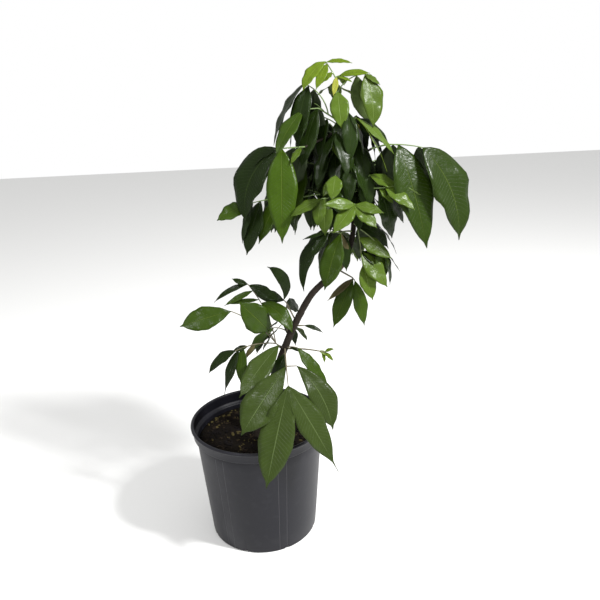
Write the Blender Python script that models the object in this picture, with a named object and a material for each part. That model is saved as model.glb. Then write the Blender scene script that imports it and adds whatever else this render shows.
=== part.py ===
"""Hak Ip lychee, a young tree of about 0.94 m in its black nursery pot. Metres, Z up, front toward -Y.

The origin is the centre of the pot's flat underside. The trunk leans to +X, turns up and runs through the crown
to its tip. Each mass of foliage is a stem with compound leaves: a rachis that carries pairs of leaflets.
"""
import math
import random

import bmesh
import bpy
import numpy as np
from mathutils.bvhtree import BVHTree

# Pot and soil
POT_HEIGHT = 0.250
POT_RADIUS = 0.140
FOOT_RADIUS = 0.111
WALL = 0.0022
FLOOR = 0.0028
STEPS = 40
NECK_HEIGHT = 0.2235
NECK_RADIUS = 0.1295
LIP = 0.0045
DRAINS = 8
DRAIN_RADIUS = 0.006
SOIL_LEVEL = 0.212
SOIL_RIPPLE = 0.003
FLAT_RADIUS = 0.024
GAP = 0.0003

# Trunk: x, y, height and radius in millimetres at each knot, from the flat cut at the soil to the tip
TRUNK_KNOTS = [
    (0, 0, 212.3, 16.0), (0, 0, 219, 12.0), (3, 0, 232, 9.4), (14, -1, 267, 8.4), (30, -2, 320, 7.8),
    (60, -4, 402, 7.2), (88, -4, 462, 6.8), (120, -2, 514, 6.4), (158, 0, 548, 6.0), (189, 2, 585, 5.4),
    (203, 3, 637, 4.9), (200, 2, 695, 4.3), (189, 0, 750, 3.7), (178, 0, 813, 3.0), (174, 0, 868, 2.3)]
TRUNK_SIDES = 8
TRUNK_SPANS = 2

# Boughs: height on the trunk in millimetres, heading, rise, length, sag, and radius at foot and tip
BOUGHS = {
    "bough_left": (822, 197, -21, 72, -10, 2.2, 1.7),
    "bough_right": (752, -18, 36, 60, 10, 2.4, 1.8),
    "bough_front": (655, 262, 27, 86, 15, 2.4, 1.7),
    "bough_low": (402, 222, 37, 18, 0, 3.0, 2.4),
    "bough_back": (700, 85, 35, 60, 25, 2.4, 1.8),
}
BOUGH_SIDES = 6

# Twigs and leaflets
STEM_RADIUS = 0.0018
RACHIS_RADIUS = 0.0013
ROOT_HALF = 0.0005
RACHIS_END = 0.0015
STEM_BITE = 0.003
LEAF_COLOUR = (0.10, 0.22, 0.05)
LEAF_THICKNESS = 0.015
LEAF_STATIONS = [0.17, 0.45, 0.76]
CLEARANCE = 0.0007
SOLVER = "MANIFOLD"
NUDGES = [0, 5, -5, 10, -10, 16, -16, 23, -23]


def spray(at, heading, rise, reach, sag, leaflets):
    """A compound leaf: its share of the stem, its rachis in degrees and millimetres, and its leaflets."""
    return dict(at=at, heading=heading, rise=rise, reach=reach, sag=sag, leaflets=leaflets)


def leaf(share, lean, toward, length, face, slim=0.34, curl=25, widest=0.45, sickle=0, drip=0.06):
    """A leaflet that the front view shows: it leans to +X off straight down and toward -Y, in degrees."""
    return dict(share=share, lean=lean, toward=toward, length=length, face=face, slim=slim, curl=curl,
                widest=widest, sickle=sickle, drip=drip)


def fan(pairs, length, spread=50, fall=62):
    """Pairs of leaflets by rule: spread off the rachis and fall below level, in degrees."""
    return dict(pairs=pairs, length=length, spread=spread, fall=fall)


# Masses of foliage: where the stem starts (trunk height in millimetres, or a tip), its way and its leaves
MASSES = {
    "foliage_top": dict(on="tip", heading=90, rise=88, length=44, sag=0, sprays=[
        spray(0.95, 182, 58, 34, 10, [
            leaf(1.00, -42, 15, 66, 235, slim=0.42, sickle=-40),
            leaf(0.85, -30, 30, 56, 260, slim=0.32),
            leaf(0.35, -55, 30, 42, 240, slim=0.40),
            leaf(0.95, 86, 10, 46, 300, slim=0.22, sickle=20),
            leaf(0.90, -70, -50, 46, 150, slim=0.40)]),
        spray(1.00, 0, 20, 7, 0, [
            leaf(1.0, 92, 12, 54, 262, slim=0.26, sickle=15),
            leaf(0.5, 66, 30, 30, 300, slim=0.30),
            leaf(0.2, -14, 22, 36, 270, slim=0.32),
            leaf(1.0, 40, -60, 45, 60, slim=0.40)]),
        spray(0.30, 0, 30, 72, 75, [
            leaf(0.70, 19, -12, 92, 105, slim=0.38, sickle=15),
            leaf(0.92, 6, 14, 94, 285, slim=0.46, sickle=20),
            leaf(0.90, 55, 10, 34, 300, slim=0.40)]),
        spray(0.30, 275, 25, 14, 0, [
            leaf(1.0, 2, 22, 66, 262, slim=0.52),
            leaf(0.8, 22, 5, 42, 320, slim=0.50)]),
        spray(0.45, 95, 35, 26, 10, [
            leaf(1.0, 20, -50, 62, 80, slim=0.40),
            leaf(0.8, -50, -40, 60, 150, slim=0.40),
            leaf(0.7, 60, -30, 58, 20, slim=0.38)])]),
    "foliage_upper_left": dict(on=838, heading=188, rise=33, length=41, sag=0, sprays=[
        spray(0.5, 187, 52, 72, 60, [
            leaf(1.00, -29, -5, 120, 200, slim=0.26, sickle=-35),
            leaf(0.88, -13, 10, 108, 235, slim=0.38, sickle=-15),
            leaf(0.72, -4, -25, 96, 70)]),
        spray(1.0, 199, -5, 32, 20, [
            leaf(1.00, -36, 22, 96, 240, sickle=-15),
            leaf(0.10, -18, 6, 108, 245),
            leaf(0.05, -2, -14, 98, 60)]),
        spray(0.7, 140, 30, 40, 30, fan(2, 95, fall=62))]),
    "foliage_left": dict(on="bough_left", heading=190, rise=0, length=40, sag=0, sprays=[
        spray(1.0, 186, 0, 8, 0, [
            leaf(0.3, -3, 11, 168, 268, slim=0.33, curl=18, widest=0.42),
            leaf(1.0, -27, -3, 146, 240, slim=0.47, sickle=-72),
            leaf(1.0, -42, -35, 120, 150, slim=0.36)]),
        spray(0.10, 230, 0, 5, 0, [
            leaf(1.0, -38, 30, 38, 235, slim=0.40),
            leaf(0.5, -14, -18, 84, 60, slim=0.40)]),
        spray(0.45, 100, -10, 12, 0, [
            leaf(1.0, -20, -25, 92, 80, slim=0.38),
            leaf(0.5, 10, -25, 80, 70, slim=0.38)])]),
    "foliage_left_low": dict(on=702, heading=176, rise=0, length=92, sag=20, sprays=[
        spray(1.0, 181, -5, 108, 20, [
            leaf(0.98, -66, 8, 62, 240, slim=0.56),
            leaf(0.86, -18, 0, 80, 230, slim=0.22),
            leaf(0.72, -18, 4, 106, 235, slim=0.42, curl=15),
            leaf(0.40, -28, 12, 94, 240, slim=0.36),
            leaf(0.30, -16, -20, 80, 70, slim=0.38),
            leaf(0.55, 0, -30, 85, 70, slim=0.36)]),
        spray(0.6, 140, 5, 60, 30, fan(2, 92, fall=64))]),
    "foliage_right": dict(on="bough_right", heading=-18, rise=12, length=32, sag=10, sprays=[
        spray(1.0, -15, -6, 60, 15, [
            leaf(0.28, 14, 12, 194, 285, slim=0.40, curl=20, widest=0.42),
            leaf(1.00, 22, 5, 184, 292, slim=0.48, sickle=44),
            leaf(0.12, 6, -22, 130, 70, curl=30),
            leaf(0.90, 20, -35, 150, 40, curl=40)]),
        spray(0.5, 40, -5, 60, 25, fan(2, 112, fall=64))]),
    "foliage_upper_right": dict(on=800, heading=-31, rise=59, length=44, sag=0, sprays=[
        spray(1.0, -20, 30, 10, 0, [
            leaf(1.0, 27, 20, 112, 350, slim=0.22, sickle=-20),
            leaf(0.9, 45, 16, 94, 318, slim=0.28),
            leaf(0.7, 52, -8, 84, 300, slim=0.38),
            leaf(0.2, 18, 22, 36, 290, slim=0.40)]),
        spray(0.3, 238, 35, 22, 0, [leaf(1.0, 3, 20, 60, 262, slim=0.62)]),
        spray(0.8, 60, 20, 40, 30, fan(2, 90, fall=60))]),
    "foliage_front": dict(on="bough_front", heading=262, rise=23, length=22, sag=0, sprays=[
        spray(1.0, 262, 5, 8, 0, [
            leaf(1, -97, 18, 60, 262, slim=0.38, curl=15),
            leaf(1, -46, 26, 66, 262, slim=0.44, curl=15),
            leaf(1, 42, 26, 56, 280, slim=0.52, curl=15),
            leaf(1, 73, 14, 52, 290, slim=0.42, curl=15)])]),
    "foliage_front_left": dict(on=688, heading=226, rise=14, length=86, sag=20, sprays=[
        spray(0.95, 200, 0, 12, 20, [
            leaf(1.0, -64, 8, 64, 235, slim=0.36),
            leaf(1.0, -12, 20, 50, 262, slim=0.48),
            leaf(0.4, -2, 12, 66, 258, slim=0.46)]),
        spray(0.85, 300, 66, 46, 20, [
            leaf(1.0, -17, 38, 50, 262, slim=0.58),
            leaf(0.8, -40, 20, 36, 262, slim=0.50),
            leaf(0.4, 20, 20, 52, 262, slim=0.52)])]),
    "foliage_front_right": dict(on=705, heading=-52, rise=14, length=66, sag=20, sprays=[
        spray(1.0, -30, 5, 16, 0, [
            leaf(1.0, 76, 0, 68, 95, slim=0.24),
            leaf(1.0, 52, 20, 66, 290, slim=0.42),
            leaf(0.3, 40, 20, 38, 292, slim=0.42),
            leaf(0.3, 16, -10, 104, 290, slim=0.42),
            leaf(0.9, 30, -14, 84, 300, slim=0.40)]),
        spray(0.5, -50, 60, 32, 30, [
            leaf(1.0, 62, 22, 60, 295, slim=0.45),
            leaf(0.9, -10, 15, 62, 270, slim=0.52)])]),
    "foliage_under": dict(on=632, heading=215, rise=6, length=38, sag=20, sprays=[
        spray(1.0, 186, 5, 24, 30, [
            leaf(1.0, -22, 0, 122, 230, slim=0.25, sickle=-62),
            leaf(0.8, -40, 10, 64, 240, slim=0.34),
            leaf(1.0, -78, 5, 46, 250, slim=0.16)]),
        spray(0.8, 255, 0, 14, 10, [
            leaf(1.0, -19, 10, 110, 250, slim=0.40, widest=0.55),
            leaf(0.8, -4, 0, 80, 285, slim=0.40),
            leaf(0.5, 6, 8, 74, 285, slim=0.36)]),
        spray(0.7, 140, 0, 45, 20, fan(2, 85, fall=58))]),
    "foliage_under_right": dict(on=648, heading=-84, rise=-4, length=28, sag=20, sprays=[
        spray(0.9, -30, 8, 6, 0, [
            leaf(0.0, 52, -8, 80, 285, slim=0.42, sickle=50)]),
        spray(1.0, -72, -74, 76, 10, [
            leaf(0.26, 56, 14, 72, 282, slim=0.44, curl=15),
            leaf(0.62, 35, 15, 82, 282, slim=0.46, curl=15),
            leaf(0.95, 14, 14, 68, 272, slim=0.48, curl=15),
            leaf(0.60, 50, -4, 62, 300, slim=0.44)]),
        spray(1.0, -18, -42, 60, 20, [
            leaf(0.75, 38, -8, 80, 5, slim=0.2, curl=15),
            leaf(1.0, 14, -5, 78, 320, slim=0.30, sickle=30),
            leaf(0.9, 6, 0, 70, 290, slim=0.46)]),
        spray(0.6, 40, 0, 50, 20, fan(2, 82, fall=62))]),
    "foliage_bend": dict(on=560, heading=-21, rise=-28, length=34, sag=0, sprays=[
        spray(1.0, -20, -50, 8, 0, [
            leaf(0.2, -24, 8, 104, 250, curl=15, widest=0.5),
            leaf(1.0, 10, 8, 92, 280, slim=0.32, curl=15, widest=0.5),
            leaf(0.3, -52, 5, 66, 265, slim=0.2, curl=15)])]),
    "foliage_low_upper": dict(on=458, heading=141, rise=59, length=44, sag=0, sprays=[
        spray(1.0, 170, 40, 6, 0, [
            leaf(1.0, -158, 5, 78, 262, slim=0.30, sickle=-95, widest=0.6),
            leaf(0.8, -100, -30, 70, 240, slim=0.36)]),
        spray(0.6, 120, 10, 14, 0, [leaf(1.0, 60, -60, 64, 300, slim=0.50, widest=0.5)])]),
    "foliage_low_left": dict(on="bough_low", heading=200, rise=50, length=10, sag=0, sprays=[
        spray(1.0, 175, 69, 134, 30, [
            leaf(1.00, -64, 0, 74, 250, slim=0.16, sickle=-30),
            leaf(1.00, -118, 15, 34, 230, slim=0.34, curl=-40),
            leaf(0.98, 56, -10, 70, 285, slim=0.34),
            leaf(0.88, -66, 5, 62, 250, slim=0.20),
            leaf(0.72, -87, 5, 62, 250, slim=0.16),
            leaf(0.66, 48, 28, 84, 290, slim=0.42, sickle=45)]),
        spray(1.0, 191, 43, 116, 30, [leaf(1.0, -79, 8, 100, 266, slim=0.46, widest=0.58)]),
        spray(1.0, 221, 62, 34, 0, [leaf(1.0, -144, 18, 96, 262, slim=0.56, widest=0.5)]),
        spray(0.9, 190, -3, 84, 35, [
            leaf(0.68, -76, 5, 32, 240, slim=0.36),
            leaf(0.98, -50, -5, 74, 235, slim=0.30, sickle=-35),
            leaf(0.90, -20, 0, 104, 235, slim=0.22, drip=0.18),
            leaf(0.80, -8, 15, 68, 250, slim=0.36),
            leaf(0.50, -40, 5, 36, 250, slim=0.28)]),
        spray(0.6, 281, 15, 14, 0, [leaf(1.0, -49, 33, 130, 250, slim=0.36, widest=0.55)])]),
    "foliage_low_front": dict(on=404, heading=268, rise=-3, length=79, sag=20, sprays=[
        spray(1.0, 266, -20, 6, 20, [
            leaf(0.2, -41, 22, 152, 255, slim=0.44, curl=18, widest=0.64)]),
        spray(1.0, -5, 0, 20, 0, [
            leaf(1.0, 27, 17, 140, 285, slim=0.38, sickle=35, widest=0.62)]),
        spray(1.0, 270, -35, 42, 20, [
            leaf(1.0, -17, 20, 192, 262, slim=0.34, curl=12, widest=0.55),
            leaf(1.0, 27, 12, 192, 285, slim=0.28, curl=12, widest=0.5, drip=0.16)]),
        spray(0.05, -22, 8, 28, 50, [
            leaf(1.0, 36, 8, 100, 300, slim=0.28, sickle=-20),
            leaf(0.4, 66, 8, 28, 300, slim=0.30)]),
        spray(0.35, 250, 0, 8, 0, [leaf(1.0, -18, -5, 80, 250, slim=0.36)])]),
    "foliage_back": dict(on="bough_back", heading=88, rise=20, length=25, sag=10, sprays=[
        spray(1.0, 92, 10, 60, 30, fan(2, 112)),
        spray(0.6, 130, 15, 62, 30, fan(2, 105)),
        spray(0.6, 50, 15, 62, 30, fan(2, 105))]),
    "foliage_back_upper": dict(on=778, heading=100, rise=45, length=42, sag=20, sprays=[
        spray(1.0, 100, 25, 50, 30, fan(2, 100)),
        spray(0.6, 150, 25, 50, 30, fan(2, 95)),
        spray(0.7, 55, 25, 50, 30, fan(2, 95))]),
    "foliage_back_left": dict(on=738, heading=150, rise=18, length=60, sag=20, sprays=[
        spray(1.0, 170, 5, 60, 30, fan(3, 118, fall=66)),
        spray(0.7, 130, 10, 60, 30, fan(3, 110))]),
    "foliage_back_right": dict(on=728, heading=28, rise=22, length=60, sag=20, sprays=[
        spray(1.0, 12, 0, 56, 30, fan(3, 112, fall=66)),
        spray(0.7, 55, 10, 60, 30, fan(3, 110))]),
    "foliage_back_low": dict(on=605, heading=95, rise=12, length=40, sag=20, sprays=[
        spray(1.0, 95, 5, 40, 30, fan(2, 88, fall=55)),
        spray(0.5, 140, 5, 40, 30, fan(1, 80, fall=55)),
        spray(0.6, 40, 5, 40, 30, fan(1, 85, fall=55))]),
    "foliage_low_back": dict(on=425, heading=95, rise=30, length=26, sag=10, sprays=[
        spray(1.0, 100, 15, 36, 40, fan(2, 96, fall=50)),
        spray(0.6, 165, 15, 30, 40, fan(1, 86, fall=45))]),
    "foliage_side_shoot": dict(on=402, heading=-14, rise=-2, length=68, sag=15, sprays=[
        spray(1.0, -5, -15, 14, 10, [
            leaf(0.1, 55, 10, 24, 300, sickle=40),
            leaf(0.5, 12, 10, 24, 300, sickle=30),
            leaf(1.0, 40, 0, 26, 300),
            leaf(1.0, 110, 10, 20, 290, sickle=50)])]),
    "foliage_low_right": dict(on=450, heading=-20, rise=5, length=16, sag=0, sprays=[
        spray(1.0, -10, 0, 4, 0, [leaf(1, 66, 5, 40, 300, slim=0.24, sickle=25)])]),
}


def unit(v):
    """v at length 1."""
    return np.asarray(v, float) / np.linalg.norm(v)


def bearing(heading, rise):
    """Unit vector at a compass heading from +X and a rise above level."""
    h, r = math.radians(heading), math.radians(rise)
    return np.array([math.cos(h) * math.cos(r), math.sin(h) * math.cos(r), math.sin(r)])


def hanging(lean, toward):
    """Unit vector that leans to +X off straight down, and toward -Y."""
    a, t = math.radians(lean), math.radians(toward)
    return np.array([math.sin(a) * math.cos(t), -math.sin(t), -math.cos(a) * math.cos(t)])


def turned(v, axis, degrees):
    """v turned about a unit axis."""
    a = math.radians(degrees)
    return v * math.cos(a) + np.cross(axis, v) * math.sin(a) + axis * np.dot(axis, v) * (1 - math.cos(a))


def bent_path(start, heading, rise, length, sag, steps):
    """A shoot from start that bends down by sag degrees on its way."""
    points = [np.asarray(start, float)]
    for i in range(steps):
        here = rise + sag * (0.5 - (i + 0.5) / steps)
        points.append(points[-1] + bearing(heading, here) * length / steps)
    return np.array(points)


def smooth_path(knots, steps):
    """Catmull-Rom curve through the knots."""
    k = np.asarray(knots, float)
    k = np.vstack([2 * k[0] - k[1], k, 2 * k[-1] - k[-2]])
    points = []
    for a, b, c, d in zip(k, k[1:], k[2:], k[3:]):
        for t in np.arange(steps) / steps:
            points.append(0.5 * (2 * b + (c - a) * t + (2 * a - 5 * b + 4 * c - d) * t ** 2
                                 + (3 * b - a - 3 * c + d) * t ** 3))
    points.append(k[-2])
    return np.array(points)


def along(path, share):
    """Point at a share of a path's length."""
    legs = np.diff(path, axis=0)
    lengths = np.linalg.norm(legs, axis=1)
    left = share * lengths.sum()
    for start, leg, length in zip(path, legs, lengths):
        if left <= length:
            return start + leg * left / length
        left -= length
    return path[-1]


def half_outline(s, widest, drip):
    """Share of a leaflet's half width: a rounded body, then a thin drip tip."""
    body = 1 - drip
    if s >= body:
        return 0.09 * (1 - s) / drip
    s = s / body
    if s < widest:
        return math.sin(math.pi / 2 * s / widest) ** (0.6 + 1.4 * widest)
    return 0.09 + 0.91 * math.cos(math.pi / 2 * (s - widest) / (1 - widest)) ** 0.9


def blade(root, way, face, length, slim, curl, widest=0.45, sickle=0, drip=0.06):
    """A leaflet from root along way, its upper side toward the compass heading face, in metres."""
    look = bearing(face, 35)
    normal = unit(look - way * np.dot(look, way))
    return dict(root=root, way=way, normal=normal, side=np.cross(way, normal), length=length,
                width=length * slim, curl=curl, widest=widest, sickle=sickle, drip=drip)


def blade_frames(b, shares):
    """Midrib point, side and normal at each share of a leaflet, curled down and bent sideways."""
    def way_at(s):
        way = turned(b["way"], b["side"], (0.5 - s) * b["curl"])
        return turned(way, b["normal"], (0.5 - s) * b["sickle"])
    steps = 20
    points = [np.zeros(3)]
    for i in range(steps):
        points.append(points[-1] + way_at((i + 0.5) / steps) / steps)
    points = np.array(points) * b["length"] / np.linalg.norm(points[-1])
    frames = []
    for s in shares:
        way = way_at(s)
        side = turned(b["side"], b["normal"], (0.5 - s) * b["sickle"])
        side = unit(side - way * np.dot(side, way))
        point = b["root"] + np.array([np.interp(s * steps, range(steps + 1), points[:, k]) for k in range(3)])
        frames.append((point, side, np.cross(side, way)))
    return frames


def fan_blades(name, one, path):
    """The leaflets of a compound leaf by rule, in seeded pairs from the rachis's middle to its tip."""
    rule = one["leaflets"]
    rng = random.Random(f"{name} {one['heading']} {one['at']}")
    blades = []
    for i in range(rule["pairs"]):
        share = 1.0 if rule["pairs"] == 1 else 0.45 + 0.55 * i / (rule["pairs"] - 1)
        for side in (1, -1):
            turn, drop, roll, grow = (rng.uniform(-1, 1) for _ in range(4))
            heading = one["heading"] + side * rule["spread"] * (1.25 - 0.45 * share) + 8 * turn
            length = rule["length"] * (0.88 + 0.12 * share) * (1 + 0.07 * grow) / 1000
            blades.append(blade(along(path, share), bearing(heading, 9 * drop - rule["fall"]), heading + 10 * roll,
                                length, 0.34, 30 + 9 * roll))
    return blades


def shown_blades(one, path):
    """The leaflets of a compound leaf that are given one by one."""
    return [blade(along(path, given["share"]), hanging(given["lean"], given["toward"]), given["face"],
                  given["length"] / 1000, given["slim"], given["curl"], given["widest"], given["sickle"],
                  given["drip"]) for given in one["leaflets"]]


def trunk_line():
    """Trunk's centre line and its radius at each point, in metres."""
    k = smooth_path(np.array(TRUNK_KNOTS) / 1000, TRUNK_SPANS)
    return k[:, :3], k[:, 3]


def trunk_at(height):
    """Point on the trunk's centre line at a height."""
    line, _ = trunk_line()
    return np.array([np.interp(height, line[:, 2], line[:, k]) for k in range(3)])


def tube(path, radii, sides, turn=0.0, level=False):
    """Vertices and faces of a closed tapering tube round a path."""
    path = np.asarray(path)
    ways = [unit(b - a) for a, b in zip(path, path[1:])]
    ways = [ways[0]] + [unit(a + b) for a, b in zip(ways, ways[1:])] + [ways[-1]]
    if level:
        ways[0] = np.array([0, 0, 1.0])
    guide = np.array([0, 1.0, 0]) if abs(ways[0][1]) < 0.8 else np.array([1.0, 0, 0])
    verts = []
    for point, way, radius in zip(path, ways, radii):
        u = unit(np.cross(guide, way))
        guide = np.cross(way, u)
        for i in range(sides):
            a = 2 * math.pi * i / sides + turn
            verts.append(point + radius * (math.cos(a) * u + math.sin(a) * guide))
    faces = []
    for i in range(len(path) - 1):
        for j in range(sides):
            k = (j + 1) % sides
            faces.append((i * sides + j, i * sides + k, (i + 1) * sides + k, (i + 1) * sides + j))
    faces.append(tuple(reversed(range(sides))))
    faces.append(tuple(range(len(verts) - sides, len(verts))))
    return verts, faces


def leaf_solid(b, grow=0.0, first=0):
    """Vertices and faces of a leaflet: a root, keeled sections from the first on, and a point."""
    sections = []
    for (point, side, normal), s in zip(blade_frames(b, [0.0] + LEAF_STATIONS), [0.0] + LEAF_STATIONS):
        if s:
            half = half_outline(s, b["widest"], b["drip"]) * b["width"] / 2 + grow
            thick = LEAF_THICKNESS * b["length"] + grow
        else:
            half = thick = ROOT_HALF + grow
        sections.append([point - side * half, point - normal * thick, point + side * half])
    sections = sections[first:]
    tip = blade_frames(b, [1.0])[0][0]
    verts = [v for section in sections for v in section] + [tip]
    last = len(sections) * 3 - 3
    faces = [(2, 1, 0)]
    for i in range(0, last, 3):
        for j in range(3):
            k = (j + 1) % 3
            faces.append((i + j, i + k, i + 3 + k, i + 3 + j))
    faces += [(last + j, last + (j + 1) % 3, len(verts) - 1) for j in range(3)]
    return verts, faces


def as_bmesh(shape):
    """A triangulated bmesh of (vertices, faces), facing out."""
    bm = bmesh.new()
    points = [bm.verts.new(v) for v in shape[0]]
    for face in shape[1]:
        bm.faces.new([points[i] for i in face])
    bmesh.ops.triangulate(bm, faces=bm.faces[:])
    bmesh.ops.recalc_face_normals(bm, faces=bm.faces[:])
    return bm


def tree_of(shape):
    """A search tree of a shape's triangles."""
    bm = as_bmesh(shape)
    found = BVHTree.FromBMesh(bm)
    bm.free()
    return found


def material(name, colour, roughness):
    """A Principled material."""
    made = bpy.data.materials.new(name)
    made.use_nodes = True
    shader = made.node_tree.nodes["Principled BSDF"]
    shader.inputs["Base Color"].default_value = (*colour, 1)
    shader.inputs["Roughness"].default_value = roughness
    shader.inputs["Metallic"].default_value = 0.0
    made.diffuse_color = (*colour, 1)
    return made


def add_object(name, bm, made, smooth=False):
    """A named object from a bmesh, with its material."""
    mesh = bpy.data.meshes.new(name)
    bm.to_mesh(mesh)
    bm.free()
    if smooth:
        mesh.shade_smooth()
        mesh.set_sharp_from_angle(angle=math.radians(35))
    mesh.materials.append(made)
    item = bpy.data.objects.new(name, mesh)
    bpy.context.scene.collection.objects.link(item)
    return item


def spun(profile, steps):
    """Vertices and faces of a closed profile of radii and heights, turned about Z."""
    count = len(profile)
    verts = []
    for i in range(steps):
        a = 2 * math.pi * i / steps
        verts += [(r * math.cos(a), r * math.sin(a), z) for r, z in profile]
    faces = []
    for i in range(steps):
        for j in range(count - 1):
            a = i * count + j
            b = (i + 1) % steps * count + j
            faces.append((a, b, b + 1, a + 1))
    faces.append(tuple(i * count for i in reversed(range(steps))))
    faces.append(tuple(i * count + count - 1 for i in range(steps)))
    return verts, faces


def wall_radius(z):
    """Outer radius of the pot's tapering wall at a height."""
    return FOOT_RADIUS + (NECK_RADIUS - FOOT_RADIUS) * z / NECK_HEIGHT


def make_pot():
    """Nursery pot: flat floor, tapering wall, a groove under the band and a rolled lip, with drain notches."""
    band = POT_RADIUS - LIP
    profile = [
        (FOOT_RADIUS - 0.003, 0), (FOOT_RADIUS, 0.003), (NECK_RADIUS, NECK_HEIGHT), (band, NECK_HEIGHT + 0.003),
        (band + 0.001, POT_HEIGHT - 0.008), (POT_RADIUS, POT_HEIGHT - 0.007), (POT_RADIUS, POT_HEIGHT - 0.001),
        (POT_RADIUS - 0.001, POT_HEIGHT), (band - WALL, POT_HEIGHT), (band - WALL, NECK_HEIGHT + 0.002),
        (NECK_RADIUS - WALL, NECK_HEIGHT - 0.002), (wall_radius(FLOOR) - WALL, FLOOR)]
    plastic = material("black_plastic", (0.035, 0.036, 0.040), 0.42)
    pot = add_object("pot", as_bmesh(spun(profile, STEPS)), plastic, True)
    holes = bmesh.new()
    for i in range(DRAINS):
        a = 2 * math.pi * (i + 0.5) / DRAINS
        out = np.array([math.cos(a), math.sin(a), 0])
        path = [out * (FOOT_RADIUS - 0.010), out * (FOOT_RADIUS + 0.006)]
        one = as_bmesh(tube(path, [DRAIN_RADIUS, DRAIN_RADIUS], 8, math.pi / 8))
        scrap = bpy.data.meshes.new("scrap")
        one.to_mesh(scrap)
        one.free()
        holes.from_mesh(scrap)
        bpy.data.meshes.remove(scrap)
    cutter = add_object("drain_cutter", holes, plastic)
    cutter.hide_render = True
    cutter.display_type = "WIRE"
    cut = pot.modifiers.new("drains", "BOOLEAN")
    cut.operation = "DIFFERENCE"
    cut.object = cutter
    cut.solver = "EXACT"
    bpy.context.view_layer.update()
    done = bpy.data.meshes.new_from_object(pot.evaluated_get(bpy.context.evaluated_depsgraph_get()))
    pot.modifiers.clear()
    pot.data = done
    bpy.data.objects.remove(cutter)


def make_soil():
    """Potting soil that fills the pot to an uneven level, flat where the trunk stands."""
    foot = wall_radius(FLOOR) - WALL - GAP
    edge = wall_radius(SOIL_LEVEL) - WALL - GAP
    rings = [(foot, FLOOR + GAP), (edge, SOIL_LEVEL)]
    rings += [(edge * share, SOIL_LEVEL) for share in (0.8, 0.55, 0.3)] + [(FLAT_RADIUS, SOIL_LEVEL)]
    verts, faces = spun(rings, STEPS)
    rng = random.Random("soil")
    lifted = []
    for x, y, z in verts:
        away = math.hypot(x, y)
        if z == SOIL_LEVEL and away > 1.2 * FLAT_RADIUS:
            z += rng.uniform(-1, 1) * SOIL_RIPPLE
        lifted.append((x, y, z))
    add_object("soil", as_bmesh((lifted, faces)), material("soil", (0.045, 0.030, 0.020), 0.95))


def clear_start(start, way, radius, sides, blocked):
    """How far along way a tube's end ring lies GAP clear of the trunk."""
    away = 0.0
    while True:
        centre = start + way * away
        ring = tube([centre, centre + way], [radius, radius], sides)[0][:sides]
        if all(outside(blocked, centre + (v - centre) * share) >= GAP for v in ring for share in (0, 0.5, 1)):
            return away
        away += 0.0001


def off_trunk(path, radius, sides, trunk_tree):
    """A path from the trunk's axis, cut to start just clear of its bark."""
    way = unit(path[1] - path[0])
    away = clear_start(path[0], way, radius, sides, trunk_tree)
    rest = [p for p in path[1:] if np.linalg.norm(p - path[0]) > away + 0.002]
    return np.vstack([path[0] + way * away, rest])


def outside(blocked, point):
    """Distance from a surface to a point, below zero inside it."""
    near, normal, _, distance = blocked.find_nearest([float(c) for c in point])
    offset = np.asarray(point) - np.array(near)
    return distance if np.dot(offset, np.array(normal)) > 0 else -distance


def union(name, shapes, made):
    """One closed body of many overlapping shapes."""
    first = add_object(name, as_bmesh(shapes[0]), made)
    group = bpy.data.collections.new(name + "_pieces")
    bpy.context.scene.collection.children.link(group)
    for i, shape in enumerate(shapes[1:]):
        piece = add_object(f"{name}_{i}", as_bmesh(shape), made)
        bpy.context.scene.collection.objects.unlink(piece)
        group.objects.link(piece)
    join = first.modifiers.new("union", "BOOLEAN")
    join.operation = "UNION"
    join.operand_type = "COLLECTION"
    join.collection = group
    join.solver = SOLVER
    bpy.context.view_layer.update()
    done = bpy.data.meshes.new_from_object(first.evaluated_get(bpy.context.evaluated_depsgraph_get()))
    first.modifiers.clear()
    first.data = done
    for piece in list(group.objects):
        bpy.data.objects.remove(piece)
    bpy.data.collections.remove(group)
    keep_largest(first.data)


def keep_largest(mesh):
    """Triangulate a mesh and drop all but its largest connected piece."""
    bm = bmesh.new()
    bm.from_mesh(mesh)
    bmesh.ops.triangulate(bm, faces=bm.faces[:])
    left = set(bm.faces)
    pieces = []
    while left:
        todo = [left.pop()]
        piece = list(todo)
        while todo:
            for edge in todo.pop().edges:
                for face in edge.link_faces:
                    if face in left:
                        left.remove(face)
                        todo.append(face)
                        piece.append(face)
        pieces.append(piece)
    pieces.sort(key=lambda piece: sum(face.calc_area() for face in piece))
    bmesh.ops.delete(bm, geom=[face for piece in pieces[:-1] for face in piece], context="FACES")
    bm.to_mesh(mesh)
    bm.free()


def clear_leaf(b, blocked, outer):
    """A leaflet tilted by the least nudge that clears the other solids and its own mass's leaflets, or None."""
    for nudge in NUDGES:
        tried = dict(b, way=turned(b["way"], b["side"], nudge), normal=turned(b["normal"], b["side"], nudge))
        wide = tree_of(leaf_solid(tried, CLEARANCE))
        blade_only = tree_of(leaf_solid(tried, 0, 1))
        if not any(wide.overlap(other) for other in blocked) and not any(blade_only.overlap(o) for o in outer):
            return tried
    return None


def mass_stem(row, trunk_tree, bough_ends):
    """A mass's stem as its tube's path, and the path that its leaves are placed along."""
    shape = (row["heading"], row["rise"], row["length"] / 1000, row["sag"], 2)
    if isinstance(row["on"], str):
        tip, way = bough_ends[row["on"]]
        path = bent_path(tip + way * (GAP + STEM_BITE), *shape)
        return np.vstack([tip + way * GAP, path]), path
    path = bent_path(trunk_at(row["on"] / 1000), *shape)
    return off_trunk(path, STEM_RADIUS, 3, trunk_tree), path


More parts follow.
